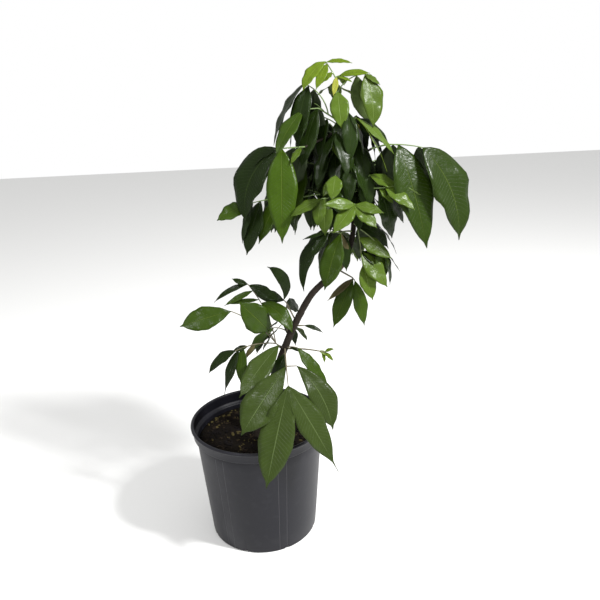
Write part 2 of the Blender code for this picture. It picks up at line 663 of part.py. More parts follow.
def mass_shapes(name, stem, path, blocked):
    """The stem, rachises and leaflets of one mass that are clear of all other solids."""
    row = MASSES[name]
    shapes = [tube(stem, [STEM_RADIUS] * len(stem), 3)]
    trees = []
    outer = []
    for one in row["sprays"]:
        foot = along(path, one["at"])
        rachis = bent_path(foot, one["heading"], one["rise"], one["reach"] / 1000, one["sag"], 2)
        wide = tree_of(tube(rachis, [RACHIS_RADIUS + CLEARANCE] * 3, 3))
        if any(wide.overlap(other) for other in blocked):
            continue
        end = rachis[-1] + unit(rachis[-1] - rachis[-2]) * RACHIS_END
        shapes.append(tube([*rachis[:-1], end], [RACHIS_RADIUS] * 3, 3, 0.5))
        trees.append(wide)
        by_rule = isinstance(one["leaflets"], dict)
        for b in fan_blades(name, one, rachis) if by_rule else shown_blades(one, rachis):
            placed = clear_leaf(b, blocked, outer) or (not by_rule and clear_leaf(b, blocked, []))
            if placed:
                shapes.append(leaf_solid(placed))
                trees.append(tree_of(leaf_solid(placed, CLEARANCE)))
                outer.append(tree_of(leaf_solid(placed, 0, 1)))
    return shapes, trees


def make_plant():
    """Trunk, boughs and masses of foliage."""
    bark = material("bark", (0.115, 0.085, 0.060), 0.85)
    line, radii = trunk_line()
    trunk = tube(line, radii, TRUNK_SIDES, level=True)
    add_object("trunk", as_bmesh(trunk), bark, True)
    trunk_tree = tree_of(trunk)
    blocked = [trunk_tree]
    bough_ends = {"tip": (line[-1], unit(line[-1] - line[-2]))}
    for name, (height, heading, rise, length, sag, foot, tip) in BOUGHS.items():
        start = trunk_at(height / 1000)
        path = bent_path(start, heading, rise, length / 1000, sag, 4)
        path = off_trunk(path, foot / 1000, BOUGH_SIDES, trunk_tree)
        shape = tube(path, np.linspace(foot, tip, len(path)) / 1000, BOUGH_SIDES)
        add_object(name, as_bmesh(shape), bark, True)
        blocked.append(tree_of(shape))
        bough_ends[name] = (path[-1], unit(path[-1] - path[-2]))
    stems = {name: mass_stem(row, trunk_tree, bough_ends) for name, row in MASSES.items()}
    stem_trees = {name: tree_of(tube(stem, [STEM_RADIUS + CLEARANCE] * len(stem), 3))
                  for name, (stem, _) in stems.items()}
    for name, (stem, path) in stems.items():
        others = [tree for other, tree in stem_trees.items() if other != name]
        shapes, trees = mass_shapes(name, stem, path, blocked + others)
        union(name, shapes, material(name, LEAF_COLOUR, 0.45))
        blocked += trees


def main():
    """Clear the scene and build the potted tree."""
    for item in list(bpy.data.objects):
        bpy.data.objects.remove(item)
    make_pot()
    make_soil()
    make_plant()


main()
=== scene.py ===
# %% [markdown]
# # Hak Ip lychee in a nursery pot
# A young lychee has a thin trunk that leans, bends and turns up, and compound leaves whose long leaflets
# hang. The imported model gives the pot, the soil, the trunk, five boughs and the masses of foliage as
# plain solids. This lesson dresses each of them: first the view, then the way materials are written, then
# the pot, the soil, the bark and the leaves.

# %% Load the frame
import math
import random

import bmesh
import bpy
import numpy as np
from mathutils import Matrix, Vector, noise


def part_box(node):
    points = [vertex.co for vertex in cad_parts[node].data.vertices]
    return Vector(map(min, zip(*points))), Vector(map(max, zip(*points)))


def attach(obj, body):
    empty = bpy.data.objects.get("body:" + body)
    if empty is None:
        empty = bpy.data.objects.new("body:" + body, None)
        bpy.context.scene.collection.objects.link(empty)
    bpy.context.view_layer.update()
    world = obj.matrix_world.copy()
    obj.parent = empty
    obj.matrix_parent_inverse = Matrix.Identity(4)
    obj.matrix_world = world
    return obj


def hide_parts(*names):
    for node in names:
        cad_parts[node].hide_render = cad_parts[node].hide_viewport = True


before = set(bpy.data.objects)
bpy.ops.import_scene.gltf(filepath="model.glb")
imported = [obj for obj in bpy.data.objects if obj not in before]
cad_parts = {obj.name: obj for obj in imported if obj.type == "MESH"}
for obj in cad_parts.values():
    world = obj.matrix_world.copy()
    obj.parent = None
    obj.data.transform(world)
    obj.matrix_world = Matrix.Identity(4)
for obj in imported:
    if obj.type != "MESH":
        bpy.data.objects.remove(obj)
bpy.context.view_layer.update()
print("solids in the frame:", len(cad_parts))

# %% [markdown]
# ## The view
# The camera stands 1.2 m in front of the pot at about the height of the crown's top and looks down at it.
# Its axes are worked out from three angles, so that each can be changed by itself.

# %% Camera
CAMERA_PLACE = Vector((0, -1.2, 0.916))
PITCH, YAW, ROLL = math.radians(19), math.radians(4.55), math.radians(-2.2)
LENS = 39.0
SENSOR_WIDTH = 36.0
forward = Vector((math.sin(YAW) * math.cos(PITCH), math.cos(YAW) * math.cos(PITCH), -math.sin(PITCH)))
level = Vector((math.cos(YAW), -math.sin(YAW), 0))
upward = level.cross(forward)
right = math.cos(ROLL) * level + math.sin(ROLL) * upward
upright = math.cos(ROLL) * upward - math.sin(ROLL) * level
eye = bpy.data.objects.new("camera", bpy.data.cameras.new("camera"))
eye.data.lens = LENS
eye.data.sensor_width = SENSOR_WIDTH
eye.data.clip_start = 0.01
eye.matrix_world = Matrix.Translation(CAMERA_PLACE) @ Matrix((right, upright, -forward)).transposed().to_4x4()
bpy.context.scene.collection.objects.link(eye)
bpy.context.scene.camera = eye
print("camera at", tuple(round(n, 3) for n in CAMERA_PLACE), "lens", LENS)

# %% [markdown]
# ## Shader maths as Python
# A material is a graph of nodes, and its masks are sums, differences and products of numbers that change
# over the surface. Placing each Math node by hand hides what the mask says, so one small class wraps a
# socket and lets Python's own operators add those nodes.


# %% A socket that can be added and multiplied
class Wire:
    """A node's output that Python's operators build Math nodes on."""

    def __init__(self, graph, socket):
        self.graph = graph
        self.socket = socket

    def math(self, operation, *others):
        return self.graph.node("ShaderNodeMath", dict(operation=operation), self, *others)

    def __add__(self, other):
        return self.math("ADD", other)

    __radd__ = __add__

    def __mul__(self, other):
        return self.math("MULTIPLY", other)

    __rmul__ = __mul__

    def __sub__(self, other):
        return self.math("SUBTRACT", other)

    def __rsub__(self, other):
        return (self * -1) + other

    def __abs__(self):
        return self.math("ABSOLUTE")

    def below(self, edge, soft):
        """1 under edge, falling to 0 over soft."""
        return self.graph.node("ShaderNodeMapRange", dict(interpolation_type="SMOOTHSTEP"),
                               self, edge, edge + soft, 1.0, 0.0)


# %% [markdown]
# ## A material as one object
# Every finish here starts from the Principled shader. This class holds a new material, feeds a value or a
# wire to a socket of its shader, and makes any other node in one method, from its type, its settings and
# its sockets' values.


# %% A material's nodes
class Graph:
    """A new material's nodes and its Principled shader."""

    def __init__(self, name, roughness=0.5, **fixed):
        self.material = bpy.data.materials.new(name)
        self.material.use_nodes = True
        self.tree = self.material.node_tree
        self.shader = self.tree.nodes["Principled BSDF"]
        self.feed("Roughness", roughness)
        for socket, value in fixed.items():
            self.feed(socket.replace("_", " ").title().replace("Ior", "IOR"), value)

    def set_socket(self, socket, value):
        if isinstance(value, Wire):
            self.tree.links.new(value.socket, socket)
        else:
            socket.default_value = value

    def feed(self, name, value):
        self.set_socket(self.shader.inputs[name], value)

    def node(self, kind, settings, *values, out=0, **named):
        """A node with its settings, then its sockets by order or by name."""
        made = self.tree.nodes.new(kind)
        for name, value in settings.items():
            setattr(made, name, value)
        for socket, value in zip(made.inputs, values):
            self.set_socket(socket, value)
        for name, value in named.items():
            self.set_socket(made.inputs[name], value)
        return Wire(self, made.outputs[out])

    def place(self):
        """The piece's own coordinates, in metres."""
        return self.node("ShaderNodeTexCoord", {}, out=3)

    def axes(self, vector):
        """The three numbers of a vector."""
        split = self.tree.nodes.new("ShaderNodeSeparateXYZ")
        self.set_socket(split.inputs[0], vector)
        return [Wire(self, socket) for socket in split.outputs]

    def noise(self, vector, scale, detail=3.0):
        """A smooth random pattern of 0 to 1."""
        return self.node("ShaderNodeTexNoise", {}, Vector=vector, Scale=scale, Detail=detail)

    def blend(self, share, a, b):
        """Colour a at 0 and b at 1."""
        made = self.tree.nodes.new("ShaderNodeMix")
        made.data_type = "RGBA"
        self.set_socket(made.inputs[0], share)
        for socket, colour in ((made.inputs[6], a), (made.inputs[7], b)):
            self.set_socket(socket, colour if isinstance(colour, Wire) else (*colour, 1))
        return Wire(self, made.outputs[2])

    def bump(self, height, distance, strength=1.0):
        """Send a height to the shader's normal, in metres."""
        lifted = self.node("ShaderNodeBump", {}, Strength=strength, Distance=distance, Height=height)
        self.feed("Normal", lifted)


# %% [markdown]
# ## A piece and its place
# Each finished mesh becomes an object at the origin that rides on the plant's one body and stands for
# the solids that it replaces. A spun shape can come out with its faces turned in, so its normals are
# recalculated once its doubles are merged.


# %% Add a piece
def add_piece(name, mesh, materials, slot, *nodes):
    """An object from a mesh, in place of the named solids."""
    for made in materials:
        mesh.materials.append(made)
    piece = bpy.data.objects.new(name, mesh)
    bpy.context.scene.collection.objects.link(piece)
    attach(piece, "root")
    if nodes:
        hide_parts(*nodes)
    print(name, len(mesh.polygons), "faces")


def finished(bm, name, smooth=True):
    """A bmesh turned into a mesh with its normals facing out."""
    bmesh.ops.remove_doubles(bm, verts=bm.verts[:], dist=0.00001)
    bmesh.ops.recalc_face_normals(bm, faces=bm.faces[:])
    mesh = bpy.data.meshes.new(name)
    bm.to_mesh(mesh)
    bm.free()
    if smooth:
        mesh.shade_smooth()
    return mesh


# %% [markdown]
# ## Light
# The plant stands on a pale floor under an even sky. A sky as bright as it looks would lay a grey haze
# over dark, glossy leaves, so a Light Path node shows the camera a white sky and lights the plant with a
# dimmer one. Two small square lamps put back the gloss: the stronger is to the right and high in front,
# the weaker to the left.

# %% Floor
FLOOR_SIZE = 12.0
FLOOR_COLOUR = (0.86, 0.86, 0.85, 1)
floor_bm = bmesh.new()
bmesh.ops.create_grid(floor_bm, x_segments=1, y_segments=1, size=FLOOR_SIZE / 2)
floor = bpy.data.objects.new("floor", finished(floor_bm, "floor", False))
bpy.context.scene.collection.objects.link(floor)
paper = Graph("pale_floor", 0.9)
paper.feed("Base Color", FLOOR_COLOUR)
floor.data.materials.append(paper.material)

# %% Sky
SKY_LIGHT = 0.72
SKY_SEEN = 1.0
world = bpy.data.worlds.new("soft_sky")
world.use_nodes = True
sky = world.node_tree
background = sky.nodes["Background"]
background.inputs["Color"].default_value = (1, 1, 1, 1)
ray = sky.nodes.new("ShaderNodeLightPath")
sky_strength = sky.nodes.new("ShaderNodeMapRange")
sky_strength.inputs["To Min"].default_value = SKY_LIGHT
sky_strength.inputs["To Max"].default_value = SKY_SEEN
sky.links.new(ray.outputs["Is Camera Ray"], sky_strength.inputs["Value"])
sky.links.new(sky_strength.outputs["Result"], background.inputs["Strength"])
bpy.context.scene.world = world
bpy.context.scene.view_settings.view_transform = "Standard"


# %% Lamps
def lamp(name, place, target, size, power):
    """A square lamp at a place that faces a target, its size in metres and its power in watts."""
    light = bpy.data.lights.new(name, "AREA")
    light.size = size
    light.energy = power
    made = bpy.data.objects.new(name, light)
    aim = (Vector(target) - Vector(place)).to_track_quat("-Z", "Y")
    made.matrix_world = Matrix.Translation(place) @ aim.to_matrix().to_4x4()
    bpy.context.scene.collection.objects.link(made)


lamp("key", (1.6, -1.0, 2.2), (0.1, 0, 0.5), 0.35, 120)
lamp("fill", (-1.0, -1.4, 2.4), (0.1, 0, 0.7), 0.3, 26)

# %% [markdown]
# ## The pot
# A nursery pot is blown from black plastic: a thin tapering wall, a groove under a plain band, and a
# rolled lip. It could be stacked from cones, but then each rounding is a part of its own. It is a turned
# shape, so its section is drawn once as edges and spun about Z.

# %% Pot sizes, from the frame
_, pot_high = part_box("pot")
POT_HEIGHT = pot_high[2]
POT_RADIUS = pot_high[0]
FOOT_RADIUS = 0.111
NECK_RADIUS = 0.1295
NECK_HEIGHT = 0.2235
WALL = 0.0022
FLOOR_THICK = 0.0028
LIP = 0.0045
FOOT_ROUND = 0.004
SHOULDER_ROUND = 0.003
LIP_ROUND = 0.0034
SOIL_LEVEL = 0.212
band = POT_RADIUS - LIP
print("pot:", round(2 * POT_RADIUS, 3), "m across the lip,", round(POT_HEIGHT, 3), "m high")


def wall_radius(z):
    """Outer radius of the tapering wall."""
    return FOOT_RADIUS + (NECK_RADIUS - FOOT_RADIUS) * z / NECK_HEIGHT


def rounded(centre_r, centre_z, radius, start, end, steps=6):
    """Points of a quarter or half round in the pot's section."""
    turns = [math.radians(start + (end - start) * i / steps) for i in range(steps + 1)]
    return [(centre_r + radius * math.cos(a), centre_z + radius * math.sin(a)) for a in turns]


# %% The pot's section, from the middle of its underside round to the middle of its floor
section = [(0, 0), (FOOT_RADIUS - FOOT_ROUND, 0)]
section += rounded(FOOT_RADIUS - FOOT_ROUND, FOOT_ROUND, FOOT_ROUND, -90, -6)
section += [(wall_radius(z), z) for z in (0.05, 0.10, 0.15, 0.20)]
section += [(NECK_RADIUS - 0.0004, NECK_HEIGHT - 0.002), (NECK_RADIUS - 0.0010, NECK_HEIGHT)]
section += rounded(band - SHOULDER_ROUND, NECK_HEIGHT + 0.005, SHOULDER_ROUND, -80, 0)
section += [(band + 0.0005, POT_HEIGHT - 0.0085)]
section += rounded(POT_RADIUS - LIP_ROUND, POT_HEIGHT - LIP_ROUND, LIP_ROUND, -85, 180, 12)
section += [(band - WALL, POT_HEIGHT - 0.008), (band - WALL, NECK_HEIGHT + 0.004)]
section += [(NECK_RADIUS - WALL, NECK_HEIGHT - 0.002)]
section += [(wall_radius(FLOOR_THICK) - WALL, FLOOR_THICK), (0, FLOOR_THICK)]


def turned_shape(points, steps):
    """A closed bmesh of a section of radii and heights, spun about Z."""
    bm = bmesh.new()
    verts = [bm.verts.new((r, 0, z)) for r, z in points]
    edges = [bm.edges.new(pair) for pair in zip(verts, verts[1:])]
    bmesh.ops.spin(bm, geom=verts + edges, axis=(0, 0, 1), cent=(0, 0, 0), steps=steps, angle=math.tau,
                   use_merge=True)
    bmesh.ops.remove_doubles(bm, verts=bm.verts[:], dist=0.00001)
    return bm


# %% [markdown]
# ## Pot plastic
# Blown plastic is nearly black, evenly satin, and lightly dusty, with pairs of upright mould lines from
# the foot to the groove. The lines are too fine for geometry, so they are a mask: the angle round the pot
# comes from x and y, and each line is a narrow band about its own angle.

# %% Pot plastic
PANEL_ANGLES = [-2.33, -2.19, -1.33, -1.19, -0.32, -0.18, 0.68, 0.82, 1.68, 1.82, 2.68, 2.82]
SEAM_HALF = 0.002
SEAM_SOFT = 0.006
SEAM_TOP = 0.215
PLASTIC_DARK = (0.006, 0.006, 0.009)
PLASTIC_PALE = (0.009, 0.009, 0.013)
DUST = (0.12, 0.12, 0.13)
plastic = Graph("black_blown_plastic", 0.42, specular_ior_level=0.22)
x, y, z = plastic.axes(plastic.place())
around = y.math("ARCTAN2", x)
cloud = plastic.noise(plastic.place(), 9.0)
dust = plastic.noise(plastic.place(), 60.0, 5.0)
seam = sum(abs(around - angle).below(SEAM_HALF, SEAM_SOFT) for angle in PANEL_ANGLES)
seam = seam * z.below(SEAM_TOP, 0.004)
grey = plastic.blend(cloud, PLASTIC_DARK, PLASTIC_PALE)
plastic.feed("Base Color", plastic.blend(dust.below(0.36, 0.1) * 0.02 + seam * 0.25, grey, DUST))
plastic.feed("Roughness", 0.40 + cloud * 0.03)
plastic.bump(seam * 1.6 + dust * 0.08 + cloud * 0.02, 0.0008, 0.7)

# %% [markdown]
# ## Drain notches
# Water leaves through round notches where the wall meets the underside. They could be left to a dark
# patch of colour, but they show in the foot's outline, so eight short bars that point outwards are cut
# from the spun body by one Boolean difference.

# %% Make the pot
DRAINS = 8
DRAIN_RADIUS = 0.006
DRAIN_DEPTH = 0.016
POT_STEPS = 128
pot_mesh = finished(turned_shape(section, POT_STEPS), "pot_body")
drain_bm = bmesh.new()
for i in range(DRAINS):
    turn = math.tau * (i + 0.5) / DRAINS
    outward = Matrix.Translation((FOOT_RADIUS - 0.002, 0, 0)) @ Matrix.Rotation(math.pi / 2, 4, "Y")
    place = Matrix.Rotation(turn, 4, "Z") @ outward
    bmesh.ops.create_cone(drain_bm, cap_ends=True, segments=16, radius1=DRAIN_RADIUS, radius2=DRAIN_RADIUS,
                          depth=DRAIN_DEPTH, matrix=place)
drain_bar = bpy.data.objects.new("drain_bar", finished(drain_bm, "drain_bar", False))
bpy.context.scene.collection.objects.link(drain_bar)
blank = bpy.data.objects.new("blank", pot_mesh)
bpy.context.scene.collection.objects.link(blank)
cut = blank.modifiers.new("drains", "BOOLEAN")
cut.operation = "DIFFERENCE"
cut.object = drain_bar
bpy.context.view_layer.update()
pot_cut = bpy.data.meshes.new_from_object(blank.evaluated_get(bpy.context.evaluated_depsgraph_get()))
pot_cut.set_sharp_from_angle(angle=math.radians(40))
for helper in (blank, drain_bar):
    bpy.data.objects.remove(helper)
add_piece("pot_wall", pot_cut, [plastic.material], "pot", "pot")

# %% [markdown]
# ## The soil
# Potting mix is damp peat, and its top is never quite level. Its colours are near black: the peat's own
# dark brown with painted shade, for the shade that it lies in under the rim and the crown. The bed is
# turned like the pot, as one closed body that fills it, and the points of its top are lifted by a fine
# and a broad smooth noise.

# %% Soil bed
SOIL_GAP = 0.0003
SOIL_RINGS = 40
SOIL_STEPS = 96
soil_edge = wall_radius(SOIL_LEVEL) - WALL
bed = [(0, FLOOR_THICK), (wall_radius(FLOOR_THICK) - WALL - SOIL_GAP, FLOOR_THICK + SOIL_GAP)]
bed += [(soil_edge - SOIL_GAP, SOIL_LEVEL)]
bed += [(soil_edge * (1 - i / SOIL_RINGS), SOIL_LEVEL) for i in range(1, SOIL_RINGS + 1)]
soil_bm = turned_shape(bed, SOIL_STEPS)


def soil_height(x, y):
    """Height of the soil's surface."""
    fine = noise.noise(Vector((x * 90, y * 90, 1))) * 0.0016
    broad = noise.noise(Vector((x * 22, y * 22, 7))) * 0.0032
    return SOIL_LEVEL + fine + broad


for vert in soil_bm.verts:
    if vert.co.z > SOIL_LEVEL - 0.001:
        vert.co.z = soil_height(vert.co.x, vert.co.y)

# %% Potting mix, with painted shade
# Near-black peat colours: the peat's own dark brown with painted shade from the rim and the crown.
PEAT_DARK_SHADED = (0.001, 0.001, 0.001)
PEAT_GRAIN_SHADED = (0.005, 0.004, 0.003)
PEAT_PATCH_SHADED = (0.007, 0.005, 0.003)
mix = Graph("potting_mix_painted_shade", 0.95, specular_ior_level=0.06)
grain = mix.noise(mix.place(), 220.0, 6.0)
patch = mix.noise(mix.place(), 26.0)
mix.feed("Base Color", mix.blend(patch, mix.blend(grain, PEAT_DARK_SHADED, PEAT_GRAIN_SHADED), PEAT_PATCH_SHADED))
mix.bump(grain, 0.002, 0.9)
add_piece("soil_bed", finished(soil_bm, "soil_bed"), [mix.material], "soil", "soil")

# %% [markdown]
# ## Bark crumbs
# Crumbs of bark and a few paler husks lie on the mix. A noise on the bed alone would look painted, so
# they are small rough lumps: icospheres, stretched, turned and scattered by a seeded draw, and sunk
# partly in.

# %% Bark crumbs
CRUMBS = 900
CRUMB_BROWN = (0.018, 0.012, 0.007)
CRUMB_DARK = (0.003, 0.002, 0.002)
CRUMB_HUSK = (0.050, 0.040, 0.014)
draw = random.Random(4)
crumb_bm = bmesh.new()
for i in range(CRUMBS):
    turn = draw.uniform(0, math.tau)
    away = (soil_edge - 0.004) * math.sqrt(draw.random())
    size = draw.uniform(0.0010, 0.0042) * draw.uniform(0.6, 1.0)
    x0, y0 = away * math.cos(turn), away * math.sin(turn)
    place = Matrix.Translation((x0, y0, soil_height(x0, y0) + size * 0.2))
    swung = Matrix.Rotation(draw.uniform(0, math.tau), 4, "Z")
    spin = swung @ Matrix.Rotation(draw.uniform(-0.6, 0.6), 4, "X")
    shape = Matrix.Diagonal((size * draw.uniform(0.8, 2.0), size, size * draw.uniform(0.4, 0.8), 1))
    bmesh.ops.create_icosphere(crumb_bm, subdivisions=1, radius=1, matrix=place @ spin @ shape)
crumb = Graph("bark_crumbs", 0.9, specular_ior_level=0.1)
tint = crumb.noise(crumb.place(), 45.0)
warm = crumb.blend(tint.below(0.45, 0.12), CRUMB_BROWN, CRUMB_DARK)
crumb.feed("Base Color", crumb.blend((tint - 0.58).below(0, 0.05), CRUMB_HUSK, warm))
crumb.bump(crumb.noise(crumb.place(), 500.0), 0.001)
add_piece("soil_crumbs", finished(crumb_bm, "soil_crumbs", False), [crumb.material], "soil")

# %% [markdown]
# ## How the plant grows
# Every stem and leaf follows one rule: it leaves a point at a compass heading and a rise above level, and
# sags on its way. A few small functions on vectors say this, so the plant is grown from angles and
# lengths, not from drawn points.

# %% The growth rule's vectors and paths


def unit(v):
    """v at length 1."""
    return np.asarray(v, float) / np.linalg.norm(v)


def bearing(heading, rise):
    """Unit vector at a compass heading from +X and a rise above level."""
    h, r = math.radians(heading), math.radians(rise)
    return np.array([math.cos(h) * math.cos(r), math.sin(h) * math.cos(r), math.sin(r)])


def hanging(lean, toward):
    """Unit vector that leans to +X off straight down, and toward -Y."""
    a, t = math.radians(lean), math.radians(toward)
    return np.array([math.sin(a) * math.cos(t), -math.sin(t), -math.cos(a) * math.cos(t)])


def turned(v, axis, degrees):
    """v turned about a unit axis."""
    a = math.radians(degrees)
    return v * math.cos(a) + np.cross(axis, v) * math.sin(a) + axis * np.dot(axis, v) * (1 - math.cos(a))


def bent_path(start, heading, rise, length, sag, steps):
    """A shoot from start that bends down by sag degrees on its way."""
    points = [np.asarray(start, float)]
    for i in range(steps):
        here = rise + sag * (0.5 - (i + 0.5) / steps)
        points.append(points[-1] + bearing(heading, here) * length / steps)
    return np.array(points)


def smooth_path(knots, steps):
    """Catmull-Rom curve through the knots."""
    k = np.asarray(knots, float)
    k = np.vstack([2 * k[0] - k[1], k, 2 * k[-1] - k[-2]])
    points = []
    for a, b, c, d in zip(k, k[1:], k[2:], k[3:]):
        for t in np.arange(steps) / steps:
            points.append(0.5 * (2 * b + (c - a) * t + (2 * a - 5 * b + 4 * c - d) * t ** 2
                                 + (3 * b - a - 3 * c + d) * t ** 3))
    points.append(k[-2])
    return np.array(points)


def along(path, share):
    """Point at a share of a path's length."""
    legs = np.diff(path, axis=0)
    lengths = np.linalg.norm(legs, axis=1)
    left = share * lengths.sum()
    for start, leg, length in zip(path, legs, lengths):
        if left <= length:
            return start + leg * left / length
        left -= length
    return path[-1]


# %% [markdown]
# ## Bark
# The trunk is a slender taper with a root flare, rough and grey-brown, with raised rings where old leaves
# stood. A cylinder can't follow its bends, so a curve with a round bevel follows the same knots as the
# solid, and the mesh made of it is lifted by noise along its normals. A knot is x, y, height and radius
# in millimetres. A bough's row is its height on the trunk, heading, rise, length and sag, then its radius
# at the foot and at the tip.

# %% Trunk and boughs, as in the solids
TRUNK_KNOTS = [
    (0, 0, 212.3, 16.0), (0, 0, 219, 12.0), (3, 0, 232, 9.4), (14, -1, 267, 8.4), (30, -2, 320, 7.8),
    (60, -4, 402, 7.2), (88, -4, 462, 6.8), (120, -2, 514, 6.4), (158, 0, 548, 6.0), (189, 2, 585, 5.4),
    (203, 3, 637, 4.9), (200, 2, 695, 4.3), (189, 0, 750, 3.7), (178, 0, 813, 3.0), (174, 0, 868, 2.3)]
BOUGHS = {
    "bough_left": (822, 197, -21, 72, -10, 2.2, 1.7),
    "bough_right": (752, -18, 36, 60, 10, 2.4, 1.8),
    "bough_front": (655, 262, 27, 86, 15, 2.4, 1.7),
    "bough_low": (402, 222, 37, 18, 0, 3.0, 2.4),
    "bough_back": (700, 85, 35, 60, 25, 2.4, 1.8),
}
trunk_points = smooth_path(np.array(TRUNK_KNOTS) / 1000, 2)


def trunk_at(height):
    """Point on the trunk's centre line at a height."""
    return np.array([np.interp(height, trunk_points[:, 2], trunk_points[:, k]) for k in range(3)])


# %% Tubes from paths
def tubes(name, limbs, sides):
    """One mesh of round tapering tubes, each a path with its radii."""
    curve = bpy.data.curves.new(name, "CURVE")
    curve.dimensions = "3D"
    curve.bevel_depth = 1.0
    curve.bevel_resolution = sides // 4 - 1
    curve.use_fill_caps = True
    for path, radii in limbs:
        spline = curve.splines.new("POLY")
        spline.points.add(len(path) - 1)
        for point, place, radius in zip(spline.points, path, radii):
            point.co = (*place, 1)
            point.radius = radius
    holder = bpy.data.objects.new(name, curve)
    bpy.context.scene.collection.objects.link(holder)
    bpy.context.view_layer.update()
    mesh = bpy.data.meshes.new_from_object(holder.evaluated_get(bpy.context.evaluated_depsgraph_get()))
    bpy.data.objects.remove(holder)
    mesh.materials.clear()
    return mesh


# %% Rough bark
RING_RATE = 190
RING_SHARPNESS = 12


def rough(mesh, amount, scale):
    """Lift a mesh along its normals by a noise that runs along Z."""
    bm = bmesh.new()
    bm.from_mesh(mesh)
    bm.normal_update()
    for vert in bm.verts:
        at = Vector((vert.co.x * scale, vert.co.y * scale, vert.co.z * scale * 0.35))
        ring = abs(math.sin(vert.co.z * RING_RATE + 2 * noise.noise(vert.co * 30))) ** RING_SHARPNESS
        vert.co += vert.normal * amount * (noise.noise(at) + 0.5 * noise.noise(at * 2.7) + 0.7 * ring)
    return finished(bm, mesh.name)


# %% Dress the trunk and the boughs
limb_paths = {name: bent_path(trunk_at(row[0] / 1000), *row[1:3], row[3] / 1000, row[4], 8)
              for name, row in BOUGHS.items()}
fine_trunk = smooth_path(np.array(TRUNK_KNOTS) / 1000, 14)
wood = [(fine_trunk[:, :3], fine_trunk[:, 3])]
wood += [(path, np.linspace(*BOUGHS[name][5:], 9) / 1000) for name, path in limb_paths.items()]
STAINED = (0.004, 0.003, 0.002), (0.018, 0.013, 0.009)
CLEAN = (0.008, 0.006, 0.005), (0.034, 0.027, 0.019)
bark = Graph("grey_brown_bark", 0.85, specular_ior_level=0.15)
grain = bark.noise(bark.place(), 130.0, 6.0)
stain = bark.noise(bark.place(), 24.0)
bark.feed("Base Color", bark.blend(stain, bark.blend(grain, *STAINED), bark.blend(grain, *CLEAN)))
bark.bump(grain, 0.0012, 0.8)
limb_mesh = rough(tubes("bark_limbs", wood, 24), 0.00045, 260)
add_piece("bark_limbs", limb_mesh, [bark.material], "bark", "trunk", *BOUGHS)

# %% [markdown]
# ## The plan of the foliage
# A lychee's leaf is compound: a rachis with a few pairs of leaflets. Each mass below is a stem that
# carries such leaves, in the same rows as the solids, with a tone for each leaflet: fresh growth is
# yellow-green and old leaves are dark. The tones also hold painted light and shade: leaflets that hang
# forward take lighter tones as painted light, and those that hang back into the crown take darker
# tones as painted shade, even within one compound leaf.

# %% What a row means


def spray(at, heading, rise, reach, sag, leaflets):
    """A compound leaf: its share of the stem, its rachis in degrees and millimetres, and its leaflets."""
    return dict(at=at, heading=heading, rise=rise, reach=reach, sag=sag, leaflets=leaflets)


def leaf(share, lean, toward, length, face, slim=0.34, curl=25, widest=0.45, sickle=0, drip=0.06,
         tone="dark"):
    """A leaflet that the front view shows: it leans to +X off straight down and toward -Y, in degrees."""
    return dict(share=share, lean=lean, toward=toward, length=length, face=face, slim=slim, curl=curl,
                widest=widest, sickle=sickle, drip=drip, tone=tone)


def fan(pairs, length, spread=50, fall=62):
    """Pairs of leaflets by rule: spread off the rachis and fall below level, in degrees."""
    return dict(pairs=pairs, length=length, spread=spread, fall=fall)
